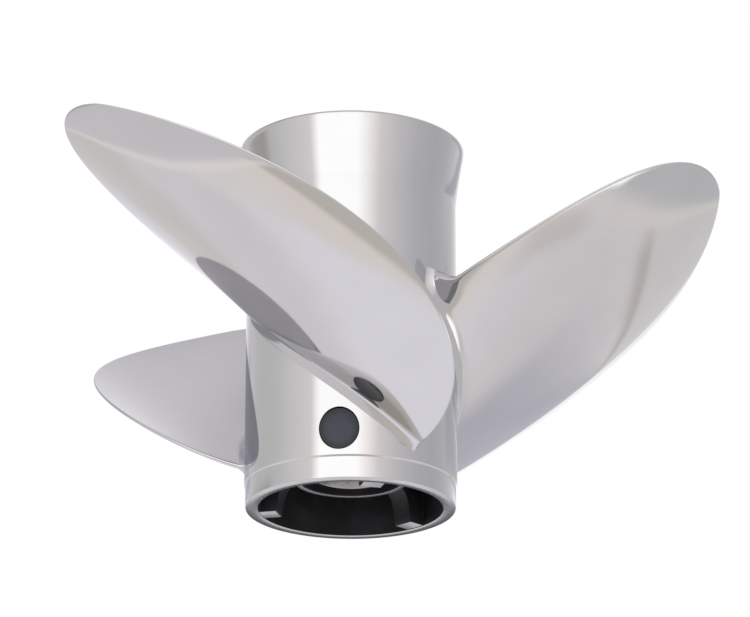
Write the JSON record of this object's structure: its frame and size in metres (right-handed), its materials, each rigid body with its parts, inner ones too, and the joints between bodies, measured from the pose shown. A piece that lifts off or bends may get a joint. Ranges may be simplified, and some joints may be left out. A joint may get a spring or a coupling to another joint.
{
  "type": "outboard boat propeller",
  "caption": "Polished stainless boat propeller with raked left-hand blades on a flared through-hub exhaust barrel, with ribs, splined drive sleeve and vent plugs.",
  "frame": {"origin": "on the shaft axis at the height of the centroid, 85.9 mm aft of the front rim", "axes": "+Z along the shaft axis, aft, from the front rim to the flared end; +X lies 2.5 degrees from the reference line of the first blade"},
  "size_m": [0.3396, 0.3602, 0.2],
  "materials": {
    "polished_stainless": "mirror-polished investment-cast stainless steel",
    "cast_inside": "cast stainless under black exhaust paint, turned bright on its front edges",
    "drive_polymer": "black moulded drive bush",
    "sleeve_metal": "machined",
    "plug_plastic": "satin moulded plastic"
  },
  "bodies": {
    "root": {"exhaust_barrel": "polished_stainless", "blade_1": "polished_stainless", "blade_2": "polished_stainless", "blade_3": "polished_stainless", "inner_hub": "cast_inside", "rib_1": "cast_inside", "rib_2": "cast_inside", "rib_3": "cast_inside", "drive_bush": "drive_polymer", "splined_sleeve": "sleeve_metal", "vent_plug_1": "plug_plastic", "vent_plug_2": "plug_plastic", "vent_plug_3": "plug_plastic"}
  },
  "joints": []
}
